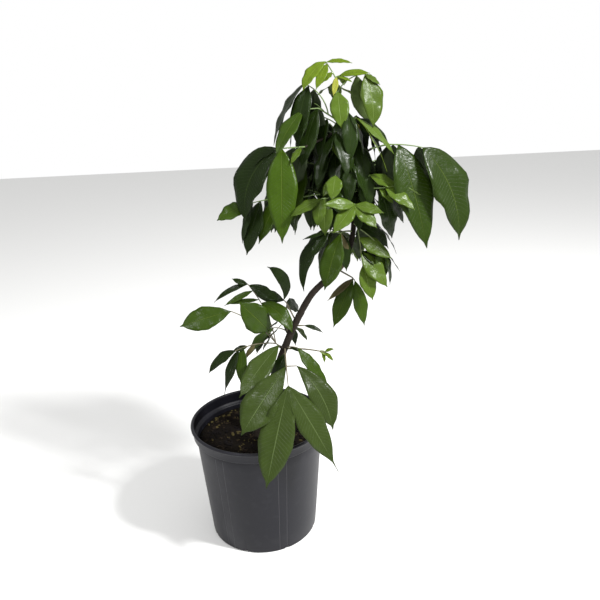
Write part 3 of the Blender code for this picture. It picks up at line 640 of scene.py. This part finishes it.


# %% [markdown]
# ## The rows
# A mass names where its stem stands, a bough's end, the trunk's tip or a height on the trunk in
# millimetres, and then the stem's own heading, rise, length and sag. Leaflets that the front view shows
# are rows of their own. Those behind the trunk come in pairs by rule.

# %% The rows
# A shown leaflet's tone is partly painted light and shade: lighter where it hangs forward, and the dark tone,
# the default, where it hangs back into the crown.
MASSES = {
    "foliage_top": dict(on="tip", heading=90, rise=88, length=44, sag=0, sprays=[
        spray(0.95, 182, 58, 34, 10, [
            leaf(1.00, -42, 15, 66, 235, slim=0.42, sickle=-40, tone="young"),
            leaf(0.85, -30, 30, 56, 260, slim=0.32, tone="young"),
            leaf(0.35, -55, 30, 42, 240, slim=0.40, tone="young"),
            leaf(0.95, 86, 10, 46, 300, slim=0.22, sickle=20, tone="young"),
            leaf(0.90, -70, -50, 46, 150, slim=0.40, tone="young")]),
        spray(1.00, 0, 20, 7, 0, [
            leaf(1.0, 92, 12, 54, 262, slim=0.26, sickle=15, tone="young"),
            leaf(0.5, 66, 30, 30, 300, slim=0.30, tone="young"),
            leaf(0.2, -14, 22, 36, 270, slim=0.32, tone="yellow"),
            leaf(1.0, 40, -60, 45, 60, slim=0.40, tone="young")]),
        spray(0.30, 0, 30, 72, 75, [
            leaf(0.70, 19, -12, 92, 105, slim=0.38, sickle=15, tone="mature"),
            leaf(0.92, 6, 14, 94, 285, slim=0.46, sickle=20, tone="bright"),
            leaf(0.90, 55, 10, 34, 300, slim=0.40, tone="bright")]),
        spray(0.30, 275, 25, 14, 0, [
            leaf(1.0, 2, 22, 66, 262, slim=0.52, tone="bright"),
            leaf(0.8, 22, 5, 42, 320, slim=0.50, tone="bright")]),
        spray(0.45, 95, 35, 26, 10, [
            leaf(1.0, 20, -50, 62, 80, slim=0.40, tone="bright"),
            leaf(0.8, -50, -40, 60, 150, slim=0.40, tone="bright"),
            leaf(0.7, 60, -30, 58, 20, slim=0.38, tone="young")])]),
    "foliage_upper_left": dict(on=838, heading=188, rise=33, length=41, sag=0, sprays=[
        spray(0.5, 187, 52, 72, 60, [
            leaf(1.00, -29, -5, 120, 200, slim=0.26, sickle=-35),
            leaf(0.88, -13, 10, 108, 235, slim=0.38, sickle=-15),
            leaf(0.72, -4, -25, 96, 70)]),
        spray(1.0, 199, -5, 32, 20, [
            leaf(1.00, -36, 22, 96, 240, sickle=-15, tone="mature"),
            leaf(0.10, -18, 6, 108, 245),
            leaf(0.05, -2, -14, 98, 60)]),
        spray(0.7, 140, 30, 40, 30, fan(2, 95, fall=62))]),
    "foliage_left": dict(on="bough_left", heading=190, rise=0, length=40, sag=0, sprays=[
        spray(1.0, 186, 0, 8, 0, [
            leaf(0.3, -3, 11, 168, 268, slim=0.33, curl=18, widest=0.42, tone="mature"),
            leaf(1.0, -27, -3, 146, 240, slim=0.47, sickle=-72),
            leaf(1.0, -42, -35, 120, 150, slim=0.36)]),
        spray(0.10, 230, 0, 5, 0, [
            leaf(1.0, -38, 30, 38, 235, slim=0.40, tone="bright"),
            leaf(0.5, -14, -18, 84, 60, slim=0.40)]),
        spray(0.45, 100, -10, 12, 0, [
            leaf(1.0, -20, -25, 92, 80, slim=0.38),
            leaf(0.5, 10, -25, 80, 70, slim=0.38)])]),
    "foliage_left_low": dict(on=702, heading=176, rise=0, length=92, sag=20, sprays=[
        spray(1.0, 181, -5, 108, 20, [
            leaf(0.98, -66, 8, 62, 240, slim=0.56, tone="mature"),
            leaf(0.86, -18, 0, 80, 230, slim=0.22),
            leaf(0.72, -18, 4, 106, 235, slim=0.42, curl=15),
            leaf(0.40, -28, 12, 94, 240, slim=0.36, tone="mature"),
            leaf(0.30, -16, -20, 80, 70, slim=0.38),
            leaf(0.55, 0, -30, 85, 70, slim=0.36)]),
        spray(0.6, 140, 5, 60, 30, fan(2, 92, fall=64))]),
    "foliage_right": dict(on="bough_right", heading=-18, rise=12, length=32, sag=10, sprays=[
        spray(1.0, -15, -6, 60, 15, [
            # The deep tone on these right-hand leaflets is painted shade for the crown's right side.
            leaf(0.28, 14, 12, 194, 285, slim=0.40, curl=20, widest=0.42, tone="deep"),
            leaf(1.00, 22, 5, 184, 292, slim=0.48, sickle=44, tone="deep"),
            leaf(0.12, 6, -22, 130, 70, curl=30),
            leaf(0.90, 20, -35, 150, 40, curl=40)]),
        spray(0.5, 40, -5, 60, 25, fan(2, 112, fall=64))]),
    "foliage_upper_right": dict(on=800, heading=-31, rise=59, length=44, sag=0, sprays=[
        spray(1.0, -20, 30, 10, 0, [
            leaf(1.0, 27, 20, 112, 350, slim=0.22, sickle=-20, tone="young"),
            leaf(0.9, 45, 16, 94, 318, slim=0.28, tone="bright"),
            leaf(0.7, 52, -8, 84, 300, slim=0.38),
            leaf(0.2, 18, 22, 36, 290, slim=0.40, tone="yellow")]),
        spray(0.3, 238, 35, 22, 0, [leaf(1.0, 3, 20, 60, 262, slim=0.62, tone="bright")]),
        spray(0.8, 60, 20, 40, 30, fan(2, 90, fall=60))]),
    "foliage_front": dict(on="bough_front", heading=262, rise=23, length=22, sag=0, sprays=[
        spray(1.0, 262, 5, 8, 0, [
            leaf(1, -97, 18, 60, 262, slim=0.38, curl=15, tone="bright"),
            leaf(1, -46, 26, 66, 262, slim=0.44, curl=15, tone="bright"),
            leaf(1, 42, 26, 56, 280, slim=0.52, curl=15, tone="bright"),
            leaf(1, 73, 14, 52, 290, slim=0.42, curl=15, tone="bright")])]),
    "foliage_front_left": dict(on=688, heading=226, rise=14, length=86, sag=20, sprays=[
        spray(0.95, 200, 0, 12, 20, [
            leaf(1.0, -64, 8, 64, 235, slim=0.36, tone="bright"),
            leaf(1.0, -12, 20, 50, 262, slim=0.48, tone="bright"),
            leaf(0.4, -2, 12, 66, 258, slim=0.46, tone="bright")]),
        spray(0.85, 300, 66, 46, 20, [
            leaf(1.0, -17, 38, 50, 262, slim=0.58, tone="bright"),
            leaf(0.8, -40, 20, 36, 262, slim=0.50, tone="bright"),
            leaf(0.4, 20, 20, 52, 262, slim=0.52)])]),
    "foliage_front_right": dict(on=705, heading=-52, rise=14, length=66, sag=20, sprays=[
        spray(1.0, -30, 5, 16, 0, [
            leaf(1.0, 76, 0, 68, 95, slim=0.24, tone="bright"),
            leaf(1.0, 52, 20, 66, 290, slim=0.42, tone="bright"),
            leaf(0.3, 40, 20, 38, 292, slim=0.42, tone="bright"),
            leaf(0.3, 16, -10, 104, 290, slim=0.42),
            leaf(0.9, 30, -14, 84, 300, slim=0.40)]),
        spray(0.5, -50, 60, 32, 30, [
            leaf(1.0, 62, 22, 60, 295, slim=0.45, tone="bright"),
            leaf(0.9, -10, 15, 62, 270, slim=0.52)])]),
    "foliage_under": dict(on=632, heading=215, rise=6, length=38, sag=20, sprays=[
        spray(1.0, 186, 5, 24, 30, [
            leaf(1.0, -22, 0, 122, 230, slim=0.25, sickle=-62),
            leaf(0.8, -40, 10, 64, 240, slim=0.34),
            leaf(1.0, -78, 5, 46, 250, slim=0.16)]),
        spray(0.8, 255, 0, 14, 10, [
            leaf(1.0, -19, 10, 110, 250, slim=0.40, widest=0.55, tone="mature"),
            leaf(0.8, -4, 0, 80, 285, slim=0.40, tone="brown"),
            leaf(0.5, 6, 8, 74, 285, slim=0.36)]),
        spray(0.7, 140, 0, 45, 20, fan(2, 85, fall=58))]),
    "foliage_under_right": dict(on=648, heading=-84, rise=-4, length=28, sag=20, sprays=[
        spray(0.9, -30, 8, 6, 0, [
            leaf(0.0, 52, -8, 80, 285, slim=0.42, sickle=50)]),
        spray(1.0, -72, -74, 76, 10, [
            leaf(0.26, 56, 14, 72, 282, slim=0.44, curl=15, tone="bright"),
            leaf(0.62, 35, 15, 82, 282, slim=0.46, curl=15, tone="bright"),
            leaf(0.95, 14, 14, 68, 272, slim=0.48, curl=15, tone="bright"),
            leaf(0.60, 50, -4, 62, 300, slim=0.44)]),
        spray(1.0, -18, -42, 60, 20, [
            leaf(0.75, 38, -8, 80, 5, slim=0.2, curl=15),
            leaf(1.0, 14, -5, 78, 320, slim=0.30, sickle=30),
            leaf(0.9, 6, 0, 70, 290, slim=0.46, tone="mature")]),
        spray(0.6, 40, 0, 50, 20, fan(2, 82, fall=62))]),
    "foliage_bend": dict(on=560, heading=-21, rise=-28, length=34, sag=0, sprays=[
        spray(1.0, -20, -50, 8, 0, [
            leaf(0.2, -24, 8, 104, 250, curl=15, widest=0.5, tone="mature"),
            leaf(1.0, 10, 8, 92, 280, slim=0.32, curl=15, widest=0.5, tone="mature"),
            leaf(0.3, -52, 5, 66, 265, slim=0.2, curl=15, tone="brown")])]),
    "foliage_low_upper": dict(on=458, heading=141, rise=59, length=44, sag=0, sprays=[
        spray(1.0, 170, 40, 6, 0, [
            leaf(1.0, -158, 5, 78, 262, slim=0.30, sickle=-95, widest=0.6),
            leaf(0.8, -100, -30, 70, 240, slim=0.36)]),
        spray(0.6, 120, 10, 14, 0, [leaf(1.0, 60, -60, 64, 300, slim=0.50, widest=0.5)])]),
    "foliage_low_left": dict(on="bough_low", heading=200, rise=50, length=10, sag=0, sprays=[
        spray(1.0, 175, 69, 134, 30, [
            leaf(1.00, -64, 0, 74, 250, slim=0.16, sickle=-30),
            leaf(1.00, -118, 15, 34, 230, slim=0.34, curl=-40),
            leaf(0.98, 56, -10, 70, 285, slim=0.34),
            leaf(0.88, -66, 5, 62, 250, slim=0.20, tone="mature"),
            leaf(0.72, -87, 5, 62, 250, slim=0.16, tone="mature"),
            leaf(0.66, 48, 28, 84, 290, slim=0.42, sickle=45, tone="mature")]),
        spray(1.0, 191, 43, 116, 30, [leaf(1.0, -79, 8, 100, 266, slim=0.46, widest=0.58, tone="mature")]),
        spray(1.0, 221, 62, 34, 0, [leaf(1.0, -144, 18, 96, 262, slim=0.56, widest=0.5, tone="mature")]),
        spray(0.9, 190, -3, 84, 35, [
            leaf(0.68, -76, 5, 32, 240, slim=0.36),
            leaf(0.98, -50, -5, 74, 235, slim=0.30, sickle=-35),
            leaf(0.90, -20, 0, 104, 235, slim=0.22, drip=0.18),
            leaf(0.80, -8, 15, 68, 250, slim=0.36, tone="mature"),
            leaf(0.50, -40, 5, 36, 250, slim=0.28, tone="brown")]),
        # This leaflet's tone is a painted sheen: a greyed green in its colour.
        spray(0.6, 281, 15, 14, 0, [leaf(1.0, -49, 33, 130, 250, slim=0.36, widest=0.55, tone="glossy")])]),
    # The big low front leaflets take a greyed green that is a painted sheen; their gloss is no higher than
    # the others'.
    "foliage_low_front": dict(on=404, heading=268, rise=-3, length=79, sag=20, sprays=[
        spray(1.0, 266, -20, 6, 20, [
            leaf(0.2, -41, 22, 152, 255, slim=0.44, curl=18, widest=0.64, tone="glossy")]),
        spray(1.0, -5, 0, 20, 0, [
            leaf(1.0, 27, 17, 140, 285, slim=0.38, sickle=35, widest=0.62, tone="glossy")]),
        spray(1.0, 270, -35, 42, 20, [
            leaf(1.0, -17, 20, 192, 262, slim=0.34, curl=12, widest=0.55, tone="glossy"),
            leaf(1.0, 27, 12, 192, 285, slim=0.28, curl=12, widest=0.5, drip=0.16, tone="glossy")]),
        spray(0.05, -22, 8, 28, 50, [
            leaf(1.0, 36, 8, 100, 300, slim=0.28, sickle=-20, tone="mature"),
            leaf(0.4, 66, 8, 28, 300, slim=0.30)]),
        spray(0.35, 250, 0, 8, 0, [leaf(1.0, -18, -5, 80, 250, slim=0.36)])]),
    "foliage_back": dict(on="bough_back", heading=88, rise=20, length=25, sag=10, sprays=[
        spray(1.0, 92, 10, 60, 30, fan(2, 112)),
        spray(0.6, 130, 15, 62, 30, fan(2, 105)),
        spray(0.6, 50, 15, 62, 30, fan(2, 105))]),
    "foliage_back_upper": dict(on=778, heading=100, rise=45, length=42, sag=20, sprays=[
        spray(1.0, 100, 25, 50, 30, fan(2, 100)),
        spray(0.6, 150, 25, 50, 30, fan(2, 95)),
        spray(0.7, 55, 25, 50, 30, fan(2, 95))]),
    "foliage_back_left": dict(on=738, heading=150, rise=18, length=60, sag=20, sprays=[
        spray(1.0, 170, 5, 60, 30, fan(3, 118, fall=66)),
        spray(0.7, 130, 10, 60, 30, fan(3, 110))]),
    "foliage_back_right": dict(on=728, heading=28, rise=22, length=60, sag=20, sprays=[
        spray(1.0, 12, 0, 56, 30, fan(3, 112, fall=66)),
        spray(0.7, 55, 10, 60, 30, fan(3, 110))]),
    "foliage_back_low": dict(on=605, heading=95, rise=12, length=40, sag=20, sprays=[
        spray(1.0, 95, 5, 40, 30, fan(2, 88, fall=55)),
        spray(0.5, 140, 5, 40, 30, fan(1, 80, fall=55)),
        spray(0.6, 40, 5, 40, 30, fan(1, 85, fall=55))]),
    "foliage_low_back": dict(on=425, heading=95, rise=30, length=26, sag=10, sprays=[
        spray(1.0, 100, 15, 36, 40, fan(2, 96, fall=50)),
        spray(0.6, 165, 15, 30, 40, fan(1, 86, fall=45))]),
    "foliage_side_shoot": dict(on=402, heading=-14, rise=-2, length=68, sag=15, sprays=[
        spray(1.0, -5, -15, 14, 10, [
            leaf(0.1, 55, 10, 24, 300, sickle=40, tone="young"),
            leaf(0.5, 12, 10, 24, 300, sickle=30, tone="young"),
            leaf(1.0, 40, 0, 26, 300, tone="young"),
            leaf(1.0, 110, 10, 20, 290, sickle=50, tone="young")])]),
    "foliage_low_right": dict(on=450, heading=-20, rise=5, length=16, sag=0, sprays=[
        spray(1.0, -10, 0, 4, 0, [leaf(1, 66, 5, 40, 300, slim=0.24, sickle=25)])]),
}

# %% [markdown]
# ## Leaflets
# A leaflet is a thin blade: rounded, widest near its middle, with a drip tip, folded a little along the
# midrib and wavy at the edge. A flat card would look like paper from the side, so it is a strip of
# stations along the midrib, seven points across, above and below, joined at the rim: a closed body 0.4 mm
# thick.

# %% The shape of a leaflet
ACROSS = [-1.0, -0.72, -0.36, 0.0, 0.36, 0.72, 1.0]
STATIONS = 17
BLADE_THICK = 0.0004
FOLD = 0.17
CUP = 0.10
WAVE = 0.055
RIPPLE = 0.022
LEAST_HALF = 0.0005
TIP_SHARE = 0.09
FRAME_STEPS = 20


def half_outline(s, widest, drip):
    """Share of a leaflet's half width: a rounded body, then a thin drip tip."""
    body = 1 - drip
    if s >= body:
        return TIP_SHARE * (1 - s) / drip
    s = s / body
    if s < widest:
        return math.sin(math.pi / 2 * s / widest) ** (0.45 + 0.9 * widest)
    return TIP_SHARE + (1 - TIP_SHARE) * math.cos(math.pi / 2 * (s - widest) / (1 - widest)) ** 0.8


def blade(root, way, face, length, slim, curl, widest=0.45, sickle=0, drip=0.06, tone="dark"):
    """A leaflet from root along way, its upper side toward the compass heading face, in metres."""
    look = bearing(face, 35)
    normal = unit(look - way * np.dot(look, way))
    return dict(root=root, way=way, normal=normal, side=np.cross(way, normal), length=length,
                width=length * slim, curl=curl, widest=widest, sickle=sickle, drip=drip, tone=tone)


def blade_frames(b, shares):
    """Midrib point, side and normal at each share of a leaflet, curled down and bent sideways."""
    def way_at(s):
        way = turned(b["way"], b["side"], (0.5 - s) * b["curl"])
        return turned(way, b["normal"], (0.5 - s) * b["sickle"])

    points = [np.zeros(3)]
    for i in range(FRAME_STEPS):
        points.append(points[-1] + way_at((i + 0.5) / FRAME_STEPS) / FRAME_STEPS)
    points = np.array(points) * b["length"] / np.linalg.norm(points[-1])
    frames = []
    for s in shares:
        way = way_at(s)
        side = turned(b["side"], b["normal"], (0.5 - s) * b["sickle"])
        side = unit(side - way * np.dot(side, way))
        here = [np.interp(s * FRAME_STEPS, range(FRAME_STEPS + 1), points[:, k]) for k in range(3)]
        frames.append((b["root"] + np.array(here), side, np.cross(side, way)))
    return frames


# %% [markdown]
# ## From rows to leaflets
# A compound leaf's leaflets come either one by one, where the front view shows them, or in pairs by rule.
# The rule's small differences come from a draw that is seeded by the leaf's own name and angles, so a
# change to one leaf leaves all the others as they were.


# %% Leaflets of a compound leaf
def fan_blades(name, one, path):
    """The leaflets of a compound leaf by rule, in seeded pairs from the rachis's middle to its tip."""
    rule = one["leaflets"]
    rng = random.Random(f"{name} {one['heading']} {one['at']}")
    blades = []
    for i in range(rule["pairs"]):
        share = 1.0 if rule["pairs"] == 1 else 0.45 + 0.55 * i / (rule["pairs"] - 1)
        for side in (1, -1):
            turn, drop, roll, grow = (rng.uniform(-1, 1) for _ in range(4))
            heading = one["heading"] + side * rule["spread"] * (1.25 - 0.45 * share) + 8 * turn
            length = rule["length"] * (0.88 + 0.12 * share) * (1 + 0.07 * grow) / 1000
            tone = "mature" if roll > 0 else "dark"
            way = bearing(heading, 9 * drop - rule["fall"])
            root = along(path, share)
            blades.append(blade(root, way, heading + 10 * roll, length, 0.34, 30 + 9 * roll, tone=tone))
    return blades


def shown_blades(one, path):
    """The leaflets of a compound leaf that are given one by one."""
    return [blade(along(path, given["share"]), hanging(given["lean"], given["toward"]), given["face"],
                  given["length"] / 1000, given["slim"], given["curl"], given["widest"], given["sickle"],
                  given["drip"], given["tone"]) for given in one["leaflets"]]


# %% [markdown]
# ## Grow every mass
# Each mass is grown from its row: the stem, then the compound leaves on it, then their leaflets. The
# leaflets are kept by tone, because each tone becomes one piece, and each tone remembers the masses that
# it has leaflets of.

# %% Grow every mass
STEM_RADII = np.linspace(0.0018, 0.0013, 9)
RACHIS_RADII = np.linspace(0.0013, 0.0009, 9)
twigs = []
leaflets = {}
nodes_of = {}
bough_ends = {name: path[-1] for name, path in limb_paths.items()}
bough_ends["tip"] = trunk_points[-1, :3]
for name, row in MASSES.items():
    start = bough_ends[row["on"]] if isinstance(row["on"], str) else trunk_at(row["on"] / 1000)
    stem = bent_path(start, row["heading"], row["rise"], row["length"] / 1000, row["sag"], 8)
    twigs.append((stem, STEM_RADII))
    for one in row["sprays"]:
        foot = along(stem, one["at"])
        rachis = bent_path(foot, one["heading"], one["rise"], one["reach"] / 1000, one["sag"], 8)
        twigs.append((rachis, RACHIS_RADII))
        by_rule = isinstance(one["leaflets"], dict)
        for b in fan_blades(name, one, rachis) if by_rule else shown_blades(one, rachis):
            leaflets.setdefault(b["tone"], []).append(b)
            nodes_of.setdefault(b["tone"], set()).add(name)

# %% [markdown]
# ## Dark leaves in the crown's middle
# Between the masses a real crown is filled with shaded leaves, so little light comes through. Short
# shoots climb the trunk there, each turned from the last by the angle that keeps new leaves out of the
# old ones' shade. Those at the front are shorter, so that the leaves of the masses stay in front of them.
# Their leaflets all take the darkest tone as painted shade for the crown's middle.

# %% Core shoots
CORE_SHOOTS = 16
CORE_FOOT = 0.682
CORE_RISE = 0.0105
CORE_FRONT, CORE_BEHIND = 34, 52
GOLDEN = 137.5
for i in range(CORE_SHOOTS):
    heading = (GOLDEN * i + 40) % 360
    name = "foliage_back" if heading < 180 else "foliage_under_right"
    reach = CORE_FRONT if heading > 180 else CORE_BEHIND
    one = spray(round(i / CORE_SHOOTS, 3), heading, 22, reach, 40, fan(2, 82, fall=66))
    rachis = bent_path(trunk_at(CORE_FOOT + CORE_RISE * i), heading, 22, reach / 1000, 40, 8)
    twigs.append((rachis, RACHIS_RADII))
    for b in fan_blades(name, one, rachis):
        # Every core leaflet takes the darkest tone: painted shade.
        leaflets.setdefault("dark", []).append(dict(b, tone="dark"))
print("leaflets:", sum(len(some) for some in leaflets.values()))

# %% [markdown]
# ## One mesh from many leaflets
# Hundreds of leaflet objects would be slow, and no operator makes this strip, so all leaflets of one tone
# are filled into one mesh from arrays. Each corner gets its place across and along the blade for the
# veins, and each leaflet a number for its own shade of green.


# %% Fill one mesh from many leaflets
def leaf_grid(b, rng):
    """Upper points of a leaflet, station by station, with their share across and along."""
    shares = [i / (STATIONS - 1) for i in range(STATIONS)]
    phase, beat = rng.uniform(0, math.tau), rng.uniform(2.0, 3.6)
    grid = []
    for s, (point, side, normal) in zip(shares, blade_frames(b, shares)):
        ripple = 1 + RIPPLE * math.sin(beat * 1.7 * math.tau * s + 2 * phase)
        half = max(half_outline(s, b["widest"], b["drip"]) * b["width"] / 2 * ripple, LEAST_HALF)
        wave = WAVE * b["width"] * math.sin(beat * math.tau * s + phase) * math.sin(math.pi * s)
        row = []
        for t in ACROSS:
            lift = FOLD * half * abs(t) - CUP * half * t * t + wave * t * abs(t)
            row.append(point + side * half * t + normal * lift)
        grid.append((row, normal))
    return grid


def leaf_mesh(name, blades):
    """A joined mesh of leaflets: upper faces take the first material, lower ones the second."""
    rng = random.Random(name)
    wide = len(ACROSS)
    verts, faces, slots, corner_uv, hues = [], [], [], [], []
    for b in blades:
        base = len(verts)
        grid = leaf_grid(b, rng)
        for row, normal in grid:
            verts += row
        for row, normal in grid:
            verts += [p - normal * BLADE_THICK for p in row]
        below = base + STATIONS * wide
        uv = [(0.5 + 0.5 * t, i / (STATIONS - 1)) for i in range(STATIONS) for t in ACROSS]
        hue = rng.random()

        def add(face, slot):
            faces.append(face)
            slots.append(slot)
            corner_uv.extend(uv[(v - base) % (STATIONS * wide)] for v in face)
            hues.append(hue)

        for i in range(STATIONS - 1):
            for j in range(wide - 1):
                a = base + i * wide + j
                add((a, a + 1, a + wide + 1, a + wide), 0)
                c = below + i * wide + j
                add((c, c + wide, c + wide + 1, c + 1), 1)
            for j in (0, wide - 1):
                a, c = base + i * wide + j, below + i * wide + j
                rim = (a, a + wide, c + wide, c)
                add(rim if j == 0 else rim[::-1], 0)
        for i in (0, STATIONS - 1):
            for j in range(wide - 1):
                a, c = base + i * wide + j, below + i * wide + j
                end = (a, c, c + 1, a + 1)
                add(end if i == 0 else end[::-1], 0)
    mesh = bpy.data.meshes.new(name)
    mesh.from_pydata([tuple(v) for v in verts], [], faces)
    mesh.polygons.foreach_set("material_index", slots)
    mesh.uv_layers.new(name="blade").data.foreach_set("uv", [n for pair in corner_uv for n in pair])
    mesh.attributes.new("hue", "FLOAT", "FACE").data.foreach_set("value", hues)
    mesh.shade_smooth()
    mesh.validate()
    return mesh


# %% [markdown]
# ## Leaf finishes
# The upper side is leathery and glossy, with a pale midrib and faint side veins that run forward to the
# rim. The underside is paler and matt. The veins follow the blade's own UV map: across from 0 to 1, and
# along from the root.

# %% Leaf colours: the blade's, then its veins'
# Besides the leaves' own age, the lighter and darker tones below carry painted light and shade.
TONES = {
    "young": ((0.078, 0.122, 0.006), (0.19, 0.26, 0.030)),
    "yellow": ((0.20, 0.21, 0.03), (0.42, 0.44, 0.12)),
    "bright": ((0.050, 0.084, 0.008), (0.14, 0.20, 0.050)),
    "mature": ((0.023, 0.046, 0.002), (0.060, 0.092, 0.012)),
    # The deep tone is a darker mid green: painted shade for the leaflets on the crown's right side.
    "deep": ((0.014, 0.028, 0.002), (0.040, 0.062, 0.010)),
    "dark": ((0.0085, 0.018, 0.0018), (0.024, 0.042, 0.007)),
    "brown": ((0.070, 0.060, 0.025), (0.12, 0.10, 0.05)),
    # A greyed green for the big low leaflets: a painted sheen in their colour.
    "glossy": ((0.026, 0.042, 0.007), (0.085, 0.120, 0.040)),
}
VEINS = 13
VEIN_SWEEP = 1.5
VEIN_SHOW = 0.45


# %% Leaf materials
def leaf_finish(tone, under):
    """A leaf side's material."""
    blade_colour, vein_colour = TONES[tone]
    if under:
        blade_colour = tuple(0.55 * c + 0.45 * d + 0.02 for c, d in zip(blade_colour, vein_colour))
    gloss = 0.05 if under else 0.13
    graph = Graph(f"leaf_{tone}_{'under' if under else 'upper'}", 0.5, specular_ior_level=gloss)
    across, run, _ = graph.axes(graph.node("ShaderNodeUVMap", dict(uv_map="blade")))
    away = abs(across - 0.5) * 2
    midrib = away.below(0.015, 0.035)
    swing = ((run * VEINS - away * VEIN_SWEEP) * math.tau).math("SINE")
    veins = abs(swing).below(0.06, 0.22) * VEIN_SHOW
    hue = graph.node("ShaderNodeAttribute", dict(attribute_name="hue"), out=2)
    mottle = graph.noise(graph.place(), 55.0)
    deep = tuple(0.72 * c for c in blade_colour)
    light = tuple(min(1.30 * c, 1) for c in blade_colour)
    body = graph.blend(hue * 0.6 + mottle * 0.4, deep, light)
    graph.feed("Base Color", graph.blend(midrib * 0.75 + veins * (1 - midrib) * 0.5, body, vein_colour))
    graph.feed("Roughness", 0.62 + mottle * 0.1 if under else 0.20 + mottle * 0.22)
    graph.bump(veins * -0.7 - midrib * 0.8 + mottle * 1.6, 0.0014, 0.9)
    return graph.material


# %% Make the leaves
for tone, blades in leaflets.items():
    sides = [leaf_finish(tone, False), leaf_finish(tone, True)]
    add_piece(f"leaves_{tone}", leaf_mesh(f"leaves_{tone}", blades), sides, "leaves", *sorted(nodes_of[tone]))

# %% [markdown]
# ## Twigs
# The stems of the masses and the stalks of the compound leaves are green in the crown and brown and corky
# lower down. They are all tubes along the paths that were grown above, in one piece, coloured by their
# height.

# %% Make the twigs
STALK_GREEN = (0.11, 0.17, 0.045)
STALK_BROWN = (0.055, 0.045, 0.028), (0.16, 0.14, 0.08)
stalk = Graph("green_brown_stalk", 0.6)
_, _, stalk_height = stalk.axes(stalk.place())
low_down = (stalk_height - 0.56).below(0.0, 0.12)
stalk_noise = stalk.noise(stalk.place(), 90.0)
stalk.feed("Base Color", stalk.blend(low_down, STALK_GREEN, stalk.blend(stalk_noise, *STALK_BROWN)))
stalk.bump(stalk_noise, 0.0005)
add_piece("twigs", tubes("twigs", twigs, 8), [stalk.material], "bark")
